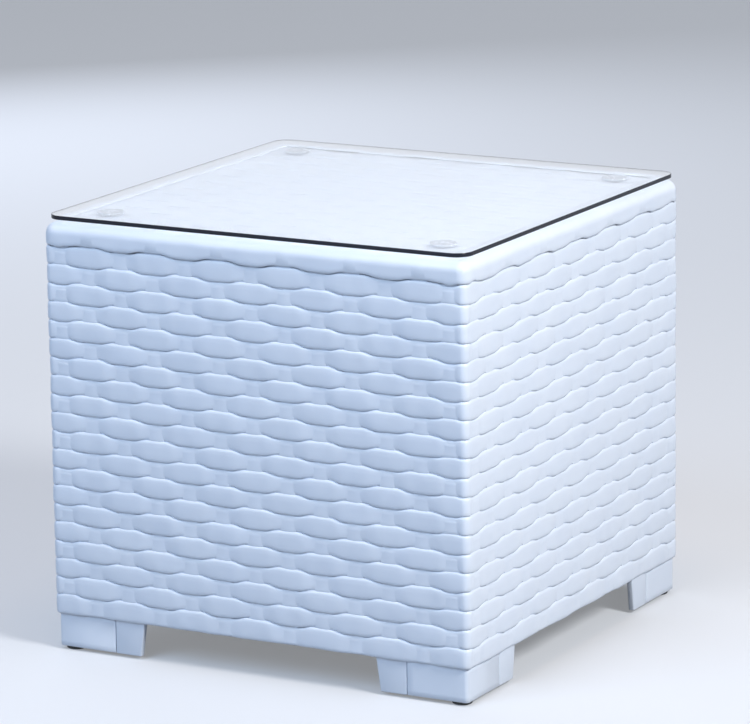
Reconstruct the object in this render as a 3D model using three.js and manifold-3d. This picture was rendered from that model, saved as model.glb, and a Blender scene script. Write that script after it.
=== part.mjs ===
// A square side table that hides a gas tank: flat white resin strap woven over an aluminium
// frame, with a loose glass top on four clear pads. It has no floor, so it is set down over
// the tank, and the hose leaves under the walls, between the feet.
// Millimetres, +Z up. The origin is on the ground, under the middle of the table.
// The front faces -Y and the right side faces +X.

import * as THREE from 'three';
import { mergeVertices } from 'three/addons/utils/BufferGeometryUtils.js';
import Module from 'manifold-3d';

const wasm = await Module();
wasm.setup();

// Overall sizes
const coverWidth = 560; // over the woven walls, both ways
const footHeight = 47; // ground to the lower edge of the walls
const wallHeight = 447; // twenty rows of weave
const rimHeight = 28; // top of the walls to the top of the woven deck
const bumperHeight = 3; // space between deck and glass
const glassThickness = 5;

// Clearances and drawing steps
const fitGap = 0.3; // between two pieces that touch
const cutOverrun = 8; // how far a cutting solid runs past what it cuts
const tubeSteps = 2; // straight steps round the corner of a tube
const cornerSteps = 4; // straight steps round the corner of the skin or a foot
const largeSteps = 7; // straight steps round the shoulder of the rim or a corner of the glass
const turnedSteps = 20; // straight steps round a turned piece

// Woven skin
const wallThickness = 6; // strap over stake over strap
const wallCornerRadius = 8;
const wallInnerRadius = 2;
const lipThickness = 3; // bottom row where it turns in under the rail
const rimProud = 2; // how far the wrapped rim stands out past the walls
const rimCornerRadius = 10;
const rimShoulderRadius = 13;
const deckThickness = 5;

// Frame of square tube
const postWidth = 25;
const postTubeWall = 1.5;
const postCornerRadius = 2.5;
const railWidth = 20;
const railTubeWall = 1.5;
const railCornerRadius = 2;
const strutWidth = 16;
const strutTubeWall = 1.2;
const strutCornerRadius = 1.6;
const deckBarSpacing = 180; // between the middles of the two bars under the deck
const gussetLeg = 60; // along each rail, from the post
const gussetSeat = 14; // how far it reaches under a rail
const gussetThickness = 3;

// Feet
const footLength = 120; // outer corner to free end, at the top
const footLean = 6; // how much shorter the foot is at the ground
const footClearance = 4; // ground to the underside of the wrap
const footCornerRadius = 6;
const strapThickness = 2; // resin strap wound round the foot plates
const plateThickness = 3;

// Levelling feet and the plugs that they screw into
const padRadius = 12;
const padHeight = 6;
const padChamfer = 1;
const padFloor = 2; // plastic under the end of the stud
const studRadius = 4;
const studChamfer = 0.8;
const plugFlange = 2.5;
const plugDepth = 24;
const plugRibCount = 4;
const plugRibHeight = 1.6;
const plugRibDepth = 1.2;

// Clear pads under the glass
const bumperInset = 58; // outside of the walls to the middle of a pad
const bumperRadius = 16;
const bumperLip = 0.8; // thickness of the thin sealing edge
const bumperHollow = 1.1; // depth of the cup
const bumperStemRadius = 4;
const bumperBarbRadius = 5.5;
const bumperBarbLength = 5;

// Glass
const glassInset = 1.5; // behind the face of the walls
const glassCornerRadius = 20;
const glassArris = 0.6;

// Heights worked out from these sizes
const wallBottom = footHeight;
const wallTop = wallBottom + wallHeight;
const deckTop = wallTop + rimHeight;
const deckUnderside = deckTop - deckThickness;
const glassUnderside = deckTop + bumperHeight;
const topRailTop = deckUnderside - fitGap;
const topRailBottom = topRailTop - railWidth;
const bottomRailBottom = wallBottom + lipThickness + fitGap;
const bottomRailTop = bottomRailBottom + railWidth;
const plugBottom = padHeight + fitGap;
const postBottom = plugBottom + plugFlange + fitGap;

// Distances from the middle of the table
const wallOuter = coverWidth / 2;
const wallInner = wallOuter - wallThickness;
const rimOuter = wallOuter + rimProud;
const frameOuter = wallInner - fitGap;
const postInner = frameOuter - postWidth;
const postCentre = frameOuter - postWidth / 2;
const railInner = frameOuter - railWidth;
const footOuter = frameOuter + fitGap + strapThickness;
const footFreeEnd = footOuter - footLength;
const quarterTurn = Math.PI / 2;

// Finishes
const resinStrap = { color: 0xe9eef5, roughness: 0.5, metalness: 0 };
const coatedAluminium = { color: 0xdfe2e4, roughness: 0.45, metalness: 0.3 };
const blackNylon = { color: 0x2a2b2d, roughness: 0.6, metalness: 0 };
const zincSteel = { color: 0xb9bdc0, roughness: 0.35, metalness: 0.9 };
const clearVinyl = { color: 0xc9d6e0, roughness: 0.2, metalness: 0, transparent: true, opacity: 0.6 };
const temperedGlass = { color: 0xd3e6e1, roughness: 0.05, metalness: 0, transparent: true, opacity: 0.35 };

const table = new THREE.Group();

// Adds one piece, turned about the middle of the table by a number of quarter turns.
function place(name, geometry, finish, quarters = 0) {
  const mesh = new THREE.Mesh(geometry, new THREE.MeshStandardMaterial(finish));
  mesh.name = name;
  mesh.rotation.z = quarters * quarterTurn;
  table.add(mesh);
}

// A closed geometry as a solid that can be joined and cut.
function solid(geometry) {
  const bare = geometry.clone();
  bare.deleteAttribute('normal');
  bare.deleteAttribute('uv');
  const merged = mergeVertices(bare);
  const vertProperties = new Float32Array(merged.attributes.position.array);
  const triVerts = new Uint32Array(merged.index.array);
  return new wasm.Manifold(new wasm.Mesh({ numProp: 3, vertProperties, triVerts }));
}

// A solid as a geometry again.
function surface(body) {
  const mesh = body.getMesh();
  const geometry = new THREE.BufferGeometry();
  geometry.setAttribute('position', new THREE.BufferAttribute(new Float32Array(mesh.vertProperties), 3));
  geometry.setIndex(new THREE.BufferAttribute(new Uint32Array(mesh.triVerts), 1));
  geometry.computeVertexNormals();
  return geometry;
}

// A square with round corners, centred on the origin.
function roundedSquare(half, radius) {
  const middle = half - radius;
  const shape = new THREE.Shape();
  shape.absarc(middle, middle, radius, 0, quarterTurn);
  shape.absarc(-middle, middle, radius, quarterTurn, 2 * quarterTurn);
  shape.absarc(-middle, -middle, radius, 2 * quarterTurn, 3 * quarterTurn);
  shape.absarc(middle, -middle, radius, 3 * quarterTurn, 4 * quarterTurn);
  shape.closePath();
  return shape;
}

// An outline raised from one height to another. Each of its arcs gets curveSegments steps.
function prism(shape, bottom, top, curveSegments = cornerSteps) {
  const depth = top - bottom;
  const geometry = new THREE.ExtrudeGeometry(shape, { depth, bevelEnabled: false, curveSegments });
  return geometry.translate(0, 0, bottom);
}

// A box between its lowest and its highest corner.
function block(low, high) {
  const size = high.map((value, axis) => value - low[axis]);
  const middle = high.map((value, axis) => (value + low[axis]) / 2);
  return new THREE.BoxGeometry(...size).translate(...middle);
}

// An outline of points as a shape.
function outline(points) {
  return new THREE.Shape(points.map(([x, y]) => new THREE.Vector2(x, y)));
}

// A piece turned about the vertical axis, from the radius and height of each profile point.
function turned(points) {
  const profile = points.map(([radius, height]) => new THREE.Vector2(radius, height));
  return new THREE.LatheGeometry(profile, turnedSteps).rotateX(quarterTurn);
}

// Square tube that stands upright, centred on the origin in plan.
function squareTube(width, tubeWall, cornerRadius, bottom, top) {
  const shape = roundedSquare(width / 2, cornerRadius);
  shape.holes.push(roundedSquare(width / 2 - tubeWall, cornerRadius - tubeWall));
  return prism(shape, bottom, top, tubeSteps);
}

// Square tube that lies along X, centred on the origin.
function lyingTube(width, tubeWall, cornerRadius, halfLength) {
  const tube = squareTube(width, tubeWall, cornerRadius, -halfLength, halfLength);
  return tube.rotateY(quarterTurn);
}

// Corner post, at the back right corner.
function cornerPost() {
  const tube = squareTube(postWidth, postTubeWall, postCornerRadius, postBottom, topRailTop);
  return tube.translate(postCentre, postCentre, 0);
}

// Rail between two posts, on the back side.
function sideRail(bottom) {
  const tube = lyingTube(railWidth, railTubeWall, railCornerRadius, postInner - fitGap);
  return tube.translate(0, frameOuter - railWidth / 2, bottom + railWidth / 2);
}

// Upright in the middle of the back side, which the strap is woven round.
function sideStrut() {
  const bottom = bottomRailTop + fitGap;
  const top = topRailBottom - fitGap;
  const tube = squareTube(strutWidth, strutTubeWall, strutCornerRadius, bottom, top);
  return tube.translate(0, frameOuter - strutWidth / 2, 0);
}

// Bar from the left top rail to the right one, which carries the woven deck.
function deckBar(toBack) {
  const tube = lyingTube(railWidth, railTubeWall, railCornerRadius, railInner - fitGap);
  return tube.translate(0, toBack * deckBarSpacing / 2, topRailBottom + railWidth / 2);
}

// Plate under two top rails, notched round the post of the back right corner.
function gusset() {
  const notch = postInner - fitGap;
  const seat = railInner + gussetSeat;
  const reach = notch - gussetLeg;
  const shape = outline([[notch, notch], [notch, seat], [reach, seat], [seat, reach], [seat, notch]]);
  const top = topRailBottom - fitGap;
  return prism(shape, top - gussetThickness, top);
}

// Upright plate on the back side, from beside a post to a free end that leans towards the
// post at the ground. inset draws the free end in, and end is 1 at the right, -1 at the left.
function footWing(end, inset, postEnd, outerFace, thickness, bottom, top) {
  const leanSlope = footLean / (wallBottom - footClearance);
  const freeEnd = (height) => footFreeEnd + inset + (wallBottom - height) * leanSlope;
  const points = [[freeEnd(bottom), bottom], [postEnd, bottom], [postEnd, top], [freeEnd(top), top]];
  const shape = outline(points.map(([along, height]) => [end * along, height]));
  return prism(shape, 0, thickness).rotateX(quarterTurn).translate(0, outerFace, 0);
}

// Aluminium plate inside a foot, welded to the post and the bottom rail.
function footPlate(end) {
  const inset = strapThickness + fitGap;
  const bottom = footClearance + strapThickness + fitGap;
  const top = bottomRailBottom - fitGap;
  return footWing(end, inset, postInner - fitGap, frameOuter, plateThickness, bottom, top);
}

// Both wings of the back right foot, joined as one solid.
function bothWings(...sizes) {
  const onBack = solid(footWing(1, ...sizes));
  const onRight = solid(footWing(-1, ...sizes).rotateZ(-quarterTurn));
  return onBack.add(onRight);
}

// Strap wound round the two plates and over the outside of the post, open at the top.
function footWrap() {
  const top = wallBottom - fitGap;
  const slot = plateThickness + 2 * fitGap;
  const slotFloor = footClearance + strapThickness;
  const skin = bothWings(0, footOuter, footOuter, slot + 2 * strapThickness, footClearance, top);
  const slots = bothWings(strapThickness, postCentre, wallInner, slot, slotFloor, top + cutOverrun);
  const postLow = [postInner - fitGap, postInner - fitGap, footClearance - cutOverrun];
  const postHigh = [wallInner, wallInner, top + cutOverrun];
  const rounding = prism(roundedSquare(footOuter, footCornerRadius), 0, wallBottom);
  const hollow = skin.subtract(slots).subtract(solid(block(postLow, postHigh)));
  return surface(hollow.intersect(solid(rounding)));
}

// Threaded plug in the lower end of the back right post.
function postPlug() {
  const inside = postWidth / 2 - postTubeWall - fitGap;
  const core = inside - plugRibDepth;
  const flangeTop = plugBottom + plugFlange;
  const plugTop = flangeTop + plugDepth;
  const flange = prism(roundedSquare(postWidth / 2, postCornerRadius), plugBottom, flangeTop, tubeSteps);
  const rib = roundedSquare(inside, postCornerRadius - postTubeWall);
  let plug = solid(flange).add(solid(block([-core, -core, plugBottom], [core, core, plugTop])));
  for (let count = 1; count <= plugRibCount; count += 1) {
    const ribTop = flangeTop + count * plugDepth / plugRibCount;
    plug = plug.add(solid(prism(rib, ribTop - plugRibHeight, ribTop, tubeSteps)));
  }
  const holeRadius = studRadius + fitGap;
  const holeLength = plugTop - plugBottom + 2 * cutOverrun;
  const hole = new THREE.CylinderGeometry(holeRadius, holeRadius, holeLength, turnedSteps);
  hole.rotateX(quarterTurn).translate(0, 0, (plugTop + plugBottom) / 2);
  return surface(plug.subtract(solid(hole))).translate(postCentre, postCentre, 0);
}

// Round plastic pad that stands on the ground, with a socket for the stud.
function levellerPad() {
  const socketRadius = studRadius + fitGap;
  const pad = turned([
    [0, 0], [padRadius - padChamfer, 0], [padRadius, padChamfer], [padRadius, padHeight - padChamfer],
    [padRadius - padChamfer, padHeight], [socketRadius, padHeight], [socketRadius, padFloor], [0, padFloor],
  ]);
  return pad.translate(postCentre, postCentre, 0);
}

// Steel stud of the levelling foot, up to the top of the plug.
function levellerStud() {
  const bottom = padFloor + fitGap;
  const top = plugBottom + plugFlange + plugDepth;
  const tip = studRadius - studChamfer;
  const stud = turned([
    [0, bottom], [tip, bottom], [studRadius, bottom + studChamfer],
    [studRadius, top - studChamfer], [tip, top], [0, top],
  ]);
  return stud.translate(postCentre, postCentre, 0);
}

// Woven wall of the back side, mitred to its neighbours, with the bottom row turned in under
// the rail between the feet.
function wovenWall() {
  const ringShape = roundedSquare(wallOuter, wallCornerRadius);
  ringShape.holes.push(roundedSquare(wallInner, wallInnerRadius));
  const ring = solid(prism(ringShape, wallBottom, wallTop));
  const apex = fitGap / 2 / Math.sin(quarterTurn / 2);
  const reach = coverWidth;
  const wedgeShape = outline([[0, apex], [reach, apex + reach], [-reach, apex + reach]]);
  const wedge = solid(prism(wedgeShape, wallBottom - cutOverrun, wallTop + cutOverrun));
  const lipEnd = footFreeEnd - fitGap;
  const lipLow = [-lipEnd, railInner, wallBottom];
  const lipHigh = [lipEnd, (wallInner + wallOuter) / 2, wallBottom + lipThickness];
  return surface(ring.intersect(wedge).add(solid(block(lipLow, lipHigh))));
}

// Woven deck with its rounded, wrapped rim. It sits over the top rails like a lid.
function wovenDeck() {
  const bottom = wallTop + fitGap;
  const turnHeight = deckTop - rimShoulderRadius;
  const turnReach = rimOuter - rimShoulderRadius;
  const shoulder = new THREE.Shape();
  shoulder.moveTo(-rimOuter, bottom);
  shoulder.lineTo(rimOuter, bottom);
  shoulder.absarc(turnReach, turnHeight, rimShoulderRadius, 0, quarterTurn);
  shoulder.absarc(-turnReach, turnHeight, rimShoulderRadius, quarterTurn, 2 * quarterTurn);
  shoulder.closePath();
  const run = rimOuter + cutOverrun;
  const alongY = prism(shoulder, -run, run, largeSteps).rotateX(quarterTurn);
  const alongX = alongY.clone().rotateZ(quarterTurn);
  const plan = solid(prism(roundedSquare(rimOuter, rimCornerRadius), bottom, deckTop));
  const cavity = block([-wallInner, -wallInner, bottom - cutOverrun], [wallInner, wallInner, deckUnderside]);
  let deck = solid(alongY).intersect(solid(alongX)).intersect(plan).subtract(solid(cavity));
  const holeRadius = bumperStemRadius + fitGap;
  const holeLength = deckThickness + 2 * cutOverrun;
  const centre = wallOuter - bumperInset;
  for (const [x, y] of [[centre, centre], [-centre, centre], [-centre, -centre], [centre, -centre]]) {
    const hole = new THREE.CylinderGeometry(holeRadius, holeRadius, holeLength, turnedSteps);
    hole.rotateX(quarterTurn).translate(x, y, deckTop);
    deck = deck.subtract(solid(hole));
  }
  return surface(deck);
}

// Clear suction pad at the back right, with a barbed stem pushed down through the deck.
function glassBumper() {
  const bottom = deckTop + fitGap;
  const top = glassUnderside - fitGap;
  const stemEnd = deckUnderside - fitGap;
  const tip = stemEnd - bumperBarbLength;
  const pad = turned([
    [0, tip], [bumperStemRadius / 2, tip], [bumperBarbRadius, stemEnd], [bumperStemRadius, stemEnd],
    [bumperStemRadius, bottom], [bumperRadius - bumperLip, bottom], [bumperRadius, top - bumperLip],
    [bumperRadius, top], [bumperRadius - bumperLip, top], [bumperStemRadius, top - bumperHollow],
    [0, top - bumperHollow],
  ]);
  return pad.translate(wallOuter - bumperInset, wallOuter - bumperInset, 0);
}

// Loose glass top with ground edges.
function glassPlate() {
  const half = wallOuter - glassInset;
  const shape = roundedSquare(half - glassArris, glassCornerRadius - glassArris);
  const plate = new THREE.ExtrudeGeometry(shape, {
    depth: glassThickness - 2 * glassArris,
    bevelSize: glassArris,
    bevelThickness: glassArris,
    bevelSegments: 1,
    curveSegments: largeSteps,
  });
  return plate.translate(0, 0, glassUnderside + glassArris);
}

// The four sides, each a quarter turn on from the one before.
const sides = ['back', 'left', 'front', 'right'];
sides.forEach((side, quarters) => {
  const before = sides[(quarters + sides.length - 1) % sides.length];
  const after = sides[(quarters + 1) % sides.length];
  place(`top_rail_${side}`, sideRail(topRailBottom), coatedAluminium, quarters);
  place(`bottom_rail_${side}`, sideRail(bottomRailBottom), coatedAluminium, quarters);
  place(`side_strut_${side}`, sideStrut(), coatedAluminium, quarters);
  place(`foot_plate_${side}_${before}`, footPlate(1), coatedAluminium, quarters);
  place(`foot_plate_${side}_${after}`, footPlate(-1), coatedAluminium, quarters);
  place(`woven_wall_${side}`, wovenWall(), resinStrap, quarters);
});

// The four corners, in the same order.
const corners = ['back_right', 'back_left', 'front_left', 'front_right'];
corners.forEach((corner, quarters) => {
  place(`corner_post_${corner}`, cornerPost(), coatedAluminium, quarters);
  place(`gusset_${corner}`, gusset(), coatedAluminium, quarters);
  place(`foot_wrap_${corner}`, footWrap(), resinStrap, quarters);
  place(`post_plug_${corner}`, postPlug(), blackNylon, quarters);
  place(`leveller_pad_${corner}`, levellerPad(), blackNylon, quarters);
  place(`leveller_stud_${corner}`, levellerStud(), zincSteel, quarters);
  place(`glass_bumper_${corner}`, glassBumper(), clearVinyl, quarters);
});

// The top
place('deck_bar_front', deckBar(-1), coatedAluminium);
place('deck_bar_back', deckBar(1), coatedAluminium);
place('woven_deck', wovenDeck(), resinStrap);
place('glass_top', glassPlate(), temperedGlass);

export default table;
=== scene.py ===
# %% [markdown]
# # A white woven tank cover table with a glass top
# The real object is a square side table that hides a gas tank. Flat white resin strap is woven
# over an aluminium frame, and a loose glass plate lies on top. The frame comes from the CAD
# model, which is loaded first and never moved. Everything that the eye meets, which is the
# weave, the rim, the feet and the glass, is then modelled round it. Lengths are in metres, the
# floor is at z = 0, the front faces -Y and the right side faces +X.

# %% Load the frame
import math

import bmesh
import bpy
from mathutils import Matrix, Vector


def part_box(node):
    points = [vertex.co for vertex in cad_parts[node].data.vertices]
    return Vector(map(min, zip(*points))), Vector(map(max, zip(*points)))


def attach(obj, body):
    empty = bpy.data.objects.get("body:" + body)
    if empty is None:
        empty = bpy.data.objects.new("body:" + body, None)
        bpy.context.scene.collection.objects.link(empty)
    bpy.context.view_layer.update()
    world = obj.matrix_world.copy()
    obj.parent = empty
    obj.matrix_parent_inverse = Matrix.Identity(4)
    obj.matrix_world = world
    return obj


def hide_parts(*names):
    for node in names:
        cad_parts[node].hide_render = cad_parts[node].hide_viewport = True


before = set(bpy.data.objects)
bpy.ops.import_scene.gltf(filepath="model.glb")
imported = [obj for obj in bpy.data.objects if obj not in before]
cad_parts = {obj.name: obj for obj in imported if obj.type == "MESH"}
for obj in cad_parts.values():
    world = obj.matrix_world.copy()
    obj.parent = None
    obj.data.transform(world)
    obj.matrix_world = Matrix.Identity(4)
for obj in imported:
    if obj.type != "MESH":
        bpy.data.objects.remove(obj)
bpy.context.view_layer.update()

MM = 0.001
wall_low, wall_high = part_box("woven_wall_front")
rim_low, rim_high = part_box("woven_deck")
glass_low, glass_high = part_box("glass_top")

# %% [markdown]
# ## Camera
# A long lens from almost six metres away, as the straight edges of the table show: they hardly
# draw together. The three angles, the distance and the two small slides were fitted to the
# edges of the glass and of the walls. The picture is 750 pixels wide, and one pixel is about
# 1.2 mm on the table.

# %% Camera
IMAGE_WIDTH = 750
FOCAL_PIXELS = 4785
SENSOR_WIDTH = 36
YAW = math.radians(-28.89)
PITCH = math.radians(12.77)
ROLL = math.radians(-0.79)
CAMERA_DISTANCE = 5.773
LOOK_AT = Vector((0, 0, 0.327))
SLIDE_RIGHT = 7.4 * MM
SLIDE_UP = -4.5 * MM

forward = Vector((math.cos(PITCH) * math.sin(YAW), math.cos(PITCH) * math.cos(YAW), -math.sin(PITCH)))
level_right = Vector((math.cos(YAW), -math.sin(YAW), 0))
level_up = level_right.cross(forward)
right = math.cos(ROLL) * level_right + math.sin(ROLL) * level_up
up = -math.sin(ROLL) * level_right + math.cos(ROLL) * level_up
eye = LOOK_AT - CAMERA_DISTANCE * forward + SLIDE_RIGHT * right + SLIDE_UP * up

camera_data = bpy.data.cameras.new("camera")
camera_data.sensor_width = SENSOR_WIDTH
camera_data.lens = FOCAL_PIXELS * SENSOR_WIDTH / IMAGE_WIDTH
camera = bpy.data.objects.new("camera", camera_data)
camera.matrix_world = Matrix.Translation(eye) @ Matrix((right, up, -forward)).transposed().to_4x4()
bpy.context.scene.collection.objects.link(camera)
bpy.context.scene.camera = camera
print("camera:", round(camera_data.lens, 1), "mm lens at", [round(c, 3) for c in eye])

# %% [markdown]
# ## One function for nodes, one for colours
# Materials are small trees of nodes. One function adds any node, sets it up and joins other
# nodes to it. Colours are written as the hex values that a paint program shows, and one
# function turns them into the linear values that Blender counts with.

# %% Node and colour helpers
def add_node(tree, kind, settings={}, values={}, links={}):
    """Adds a node, sets its own settings and its sockets' values, and joins outputs to its sockets."""
    node = tree.nodes.new(kind)
    for name, value in settings.items():
        setattr(node, name, value)
    for socket, value in values.items():
        node.inputs[socket].default_value = value
    for socket, output in links.items():
        tree.links.new(output, node.inputs[socket])
    return node


def linear(hex_code):
    """The linear colour of an sRGB hex code."""
    parts = [int(hex_code[start:start + 2], 16) / 255 for start in (1, 3, 5)]
    return [p / 12.92 if p <= 0.04045 else ((p + 0.055) / 1.055) ** 2.4 for p in parts] + [1]


def new_material(name):
    """An empty material and its node tree."""
    material = bpy.data.materials.new(name)
    material.use_nodes = True
    material.node_tree.nodes.clear()
    return material, material.node_tree


def show(tree, shader):
    """Makes this shader the surface of the material."""
    add_node(tree, "ShaderNodeOutputMaterial", links={"Surface": shader})


# %% [markdown]
# ## Floor
# A plain pale floor, as in a small studio. It looks pale to the eye and in the glass, but it
# throws back less light than it seems to, so the lower edges of the straps stay dark. A light
# path node tells the two apart: it knows whether a ray comes from the eye. The floor is
# see-through from below, so that the underside can be looked at too.

# %% Floor
FLOOR_SIZE = 80
FLOOR_FOR_LIGHT = "#8d9094"
FLOOR_FOR_EYE = "#bcc0c5"
FLOOR_GLOW = "#eef1f5"
FLOOR_GLOW_STRENGTH = 0.28


def seen_directly(tree):
    """1 where the eye looks, also by way of a mirror or through glass, and 0 for plain light."""
    ray = add_node(tree, "ShaderNodeLightPath")
    mirrored = add_node(tree, "ShaderNodeMath", {"operation": "MAXIMUM"}, links={
        0: ray.outputs["Is Glossy Ray"], 1: ray.outputs["Is Transmission Ray"]})
    looked_at = add_node(tree, "ShaderNodeMath", {"operation": "MAXIMUM"}, links={
        0: ray.outputs["Is Camera Ray"], 1: mirrored.outputs[0]})
    # Light that a matt surface gathers through the glass is plain light too.
    unscattered = add_node(tree, "ShaderNodeMath", {"operation": "LESS_THAN"}, {1: 0.5}, {
        0: ray.outputs["Diffuse Depth"]})
    return add_node(tree, "ShaderNodeMath", {"operation": "MULTIPLY"}, links={
        0: looked_at.outputs[0], 1: unscattered.outputs[0]}).outputs[0]


floor_material, tree = new_material("studio_floor_pale_matt")
seen = seen_directly(tree)
floor_tone = add_node(tree, "ShaderNodeMix", {"data_type": "RGBA"},
                      {6: linear(FLOOR_FOR_LIGHT), 7: linear(FLOOR_FOR_EYE)}, {0: seen})
floor_glow = add_node(tree, "ShaderNodeMath", {"operation": "MULTIPLY"},
                      {1: FLOOR_GLOW_STRENGTH}, {0: seen})
floor_paint = add_node(tree, "ShaderNodeBsdfPrincipled", values={
    "Roughness": 0.9, "Emission Color": linear(FLOOR_GLOW)}, links={
    "Base Color": floor_tone.outputs[2], "Emission Strength": floor_glow.outputs[0]})
floor_open = add_node(tree, "ShaderNodeBsdfTransparent")
floor_side = add_node(tree, "ShaderNodeNewGeometry")
show(tree, add_node(tree, "ShaderNodeMixShader", links={
    0: floor_side.outputs["Backfacing"], 1: floor_paint.outputs[0],
    2: floor_open.outputs[0]}).outputs[0])

bpy.ops.object.select_all(action="DESELECT")
bpy.ops.mesh.primitive_plane_add(size=FLOOR_SIZE, location=(0, 0, 0))
floor = bpy.context.object
floor.name = "studio_floor"
floor.data.materials.append(floor_material)
print("floor:", FLOOR_SIZE, "m square")

# %% [markdown]
# ## Light
# Soft light from above. The key light stands high on the right, because the right wall and the
# top are the brightest in the picture. A wide sky-blue light, high in front, gives the front
# wall its cool, even shade and makes the upper edges of the straps shine. A warm light overhead
# whitens the shoulder of the rim, and one behind the table fills the two walls that the picture
# doesn't show. These last two stay out of the glass, where each would be a bright square. The
# room round the table is dim for light and pale for the eye, as the floor is.

# %% Lights
ROOM_FOR_LIGHT = "#dbe7ff"
ROOM_LIGHT_STRENGTH = 0.24
ROOM_FOR_EYE = "#f0f4fa"
LAMPS_LOOK_AT = Vector((0, 0, 0.3))

world = bpy.data.worlds.new("studio_room")
world.use_nodes = True
world.node_tree.nodes.clear()
room_light = add_node(world.node_tree, "ShaderNodeBackground", values={
    "Color": linear(ROOM_FOR_LIGHT), "Strength": ROOM_LIGHT_STRENGTH})
room_seen = add_node(world.node_tree, "ShaderNodeBackground", values={
    "Color": linear(ROOM_FOR_EYE), "Strength": 1})
room = add_node(world.node_tree, "ShaderNodeMixShader", links={
    0: seen_directly(world.node_tree), 1: room_light.outputs[0], 2: room_seen.outputs[0]})
add_node(world.node_tree, "ShaderNodeOutputWorld", links={"Surface": room.outputs[0]})
bpy.context.scene.world = world


def add_lamp(name, place, size, power, color, mirrored=True):
    """A square soft lamp that looks at the table. It may stay out of the mirror of the glass."""
    lamp_data = bpy.data.lights.new(name, "AREA")
    lamp_data.shape = "SQUARE"
    lamp_data.size = size
    lamp_data.energy = power
    lamp_data.color = linear(color)[:3]
    lamp = bpy.data.objects.new(name, lamp_data)
    lamp.location = place
    aim = LAMPS_LOOK_AT - Vector(place)
    lamp.rotation_euler = aim.to_track_quat("-Z", "Y").to_euler()
    lamp.visible_glossy = mirrored          # in the upper face of the glass
    lamp.visible_transmission = mirrored    # and in its lower face
    bpy.context.scene.collection.objects.link(lamp)


add_lamp("key_light_right", (3.1, -0.9, 2.65), 1.0, 132, "#fffefe")
add_lamp("sky_light_front", (-0.8, -3.1, 2.85), 2.4, 85, "#cce3ff")
add_lamp("top_light", (0.3, -0.5, 3.4), 1.2, 20, "#ffd4a8", mirrored=False)
add_lamp("fill_light_back", (-2.6, 2.7, 1.6), 2.0, 42, "#eef3ff", mirrored=False)

view = bpy.context.scene.view_settings
view.view_transform = "Standard"
print("lights: a room of soft light and four lamps")

# %% [markdown]
# ## The strap material
# The strap is polyethylene resin, pressed out flat and dyed through. It is a cool white with a
# soft sheen and very fine lines along its length, from the die. Real lines are some 0.3 mm
# apart, too fine for a picture where a pixel is 1.2 mm, so they are drawn 1.5 mm apart and
# faint. The lines follow the strap, so each direction of strap has its own material, with the
# pattern packed tightly across the strap and drawn out along it.

# %% Strap material
STRAP_WHITE = "#e4edf8"
STRAP_SHADE = "#dae5f4"
STRAP_CLOUDS = 18                   # turns of the tone in a metre
LINE_GAP = 1.5 * MM
LINE_LENGTH = 90 * MM
LINE_RELIEF = 0.12 * MM
LINES_ACROSS = 1 / LINE_GAP
LINES_ALONG = 1 / LINE_LENGTH


def strap_material(direction, lines):
    """White resin strap whose fine lines are packed along the axes given in lines."""
    material, tree = new_material("polyethylene_strap_extruded_" + direction)
    place = add_node(tree, "ShaderNodeTexCoord")
    stretched = add_node(tree, "ShaderNodeMapping", values={"Scale": lines},
                         links={"Vector": place.outputs["Object"]})
    drawn = add_node(tree, "ShaderNodeTexNoise", values={"Scale": 1, "Detail": 3},
                     links={"Vector": stretched.outputs[0]})
    cloudy = add_node(tree, "ShaderNodeTexNoise", values={"Scale": STRAP_CLOUDS, "Detail": 2},
                      links={"Vector": place.outputs["Object"]})
    tone = add_node(tree, "ShaderNodeMix", {"data_type": "RGBA"},
                    {6: linear(STRAP_SHADE), 7: linear(STRAP_WHITE)}, {0: cloudy.outputs[0]})
    sheen = add_node(tree, "ShaderNodeMapRange", values={"To Min": 0.3, "To Max": 0.46},
                     links={"Value": drawn.outputs[0]})
    relief = add_node(tree, "ShaderNodeBump", values={"Strength": 0.35, "Distance": LINE_RELIEF},
                      links={"Height": drawn.outputs[0]})
    show(tree, add_node(tree, "ShaderNodeBsdfPrincipled", values={"IOR": 1.51}, links={
        "Base Color": tone.outputs[2], "Roughness": sheen.outputs[0],
        "Normal": relief.outputs[0]}).outputs[0])
    return material


strap_level = strap_material("level", (LINES_ALONG, LINES_ALONG, LINES_ACROSS))
strap_upright = strap_material("upright", (LINES_ACROSS, LINES_ACROSS, LINES_ALONG))
strap_left_right = strap_material("left_right", (LINES_ALONG, LINES_ACROSS, LINES_ALONG))
strap_front_back = strap_material("front_back", (LINES_ACROSS, LINES_ALONG, LINES_ALONG))
print("strap: four materials, lines every", LINE_GAP / MM, "mm")

# %% [markdown]
# ## Tools for modelling
# The pieces are modelled as by hand: a primitive goes in at its size, its vertices are selected
# by their place, and they are pulled, scaled, extruded or spun. Proportional editing drags the
# neighbours along softly, which is just what a bent strap does. The mesh stays in the place
# that it has in the world, so every object sits at the origin, unturned.

# %% Modelling helpers
TOUCH = 0.1 * MM            # vertices nearer than this to a place count as being there
MERGE_WITHIN = 0.05 * MM
SHARP_ANGLE = 50            # degrees


def only(*chosen):
    """Selects these objects and nothing else. The first one is the active one."""
    bpy.ops.object.select_all(action="DESELECT")
    for piece in chosen:
        piece.select_set(True)
    bpy.context.view_layer.objects.active = chosen[0]


def edit(piece):
    """Opens a piece in edit mode, with its vertices to select."""
    only(piece)
    bpy.ops.object.mode_set(mode="EDIT")
    bpy.ops.mesh.select_mode(type="VERT")


def pick(piece, chosen):
    """In edit mode, selects the vertices whose place passes the test, and nothing else."""
    sheet = bmesh.from_edit_mesh(piece.data)
    for vertex in sheet.verts:
        vertex.select_set(chosen(vertex.co))
    sheet.select_flush_mode()
    bmesh.update_edit_mesh(piece.data)


def close_edit():
    """Leaves edit mode."""
    bpy.ops.object.mode_set(mode="OBJECT")


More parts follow.
